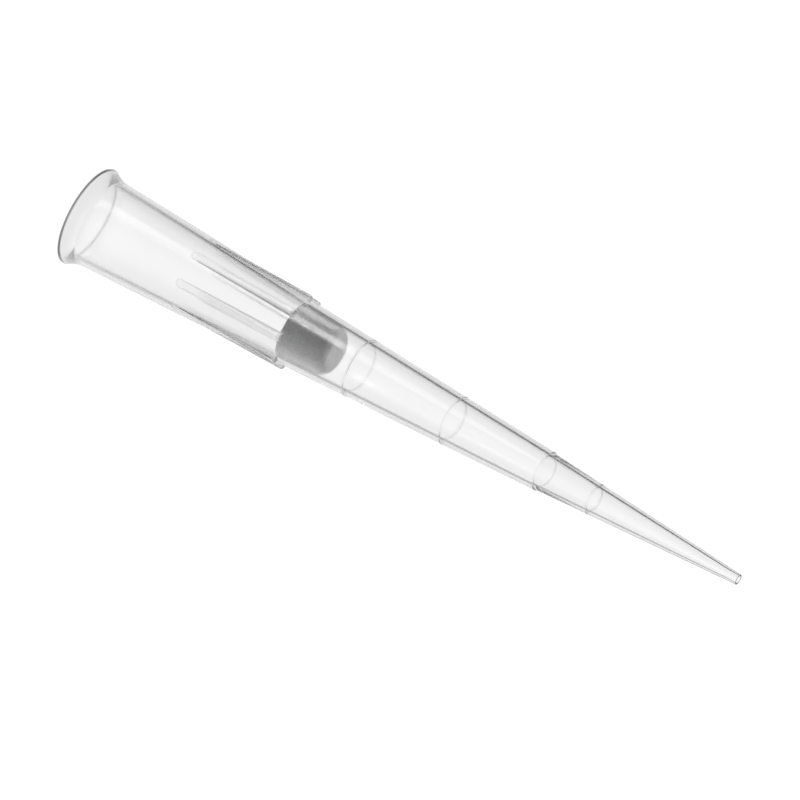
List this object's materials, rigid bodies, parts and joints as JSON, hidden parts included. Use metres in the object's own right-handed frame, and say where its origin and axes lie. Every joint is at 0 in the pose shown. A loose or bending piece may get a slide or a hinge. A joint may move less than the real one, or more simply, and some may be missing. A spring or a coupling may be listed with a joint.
{
  "type": "pipette tip",
  "caption": "Clear filter pipette tip: flared tapered socket, straight outer ribs that end in a shoulder, porous plug in the bore, fine volume rings and a slender cone to a small orifice.",
  "frame": {"origin": "centre of the mouth's lip, in the plane that the tip stands on", "axes": "+Z along the bore, from the mouth to the fine end; +X through the middle of a rib"},
  "size_m": [0.0068, 0.0068, 0.05],
  "materials": {
    "clear_plastic": "clear natural polypropylene, smooth",
    "filter": "fine-pored sintered polyethylene, matte"
  },
  "bodies": {
    "root": {"tip_body": "clear_plastic", "filter_plug": "filter"}
  },
  "joints": []
}
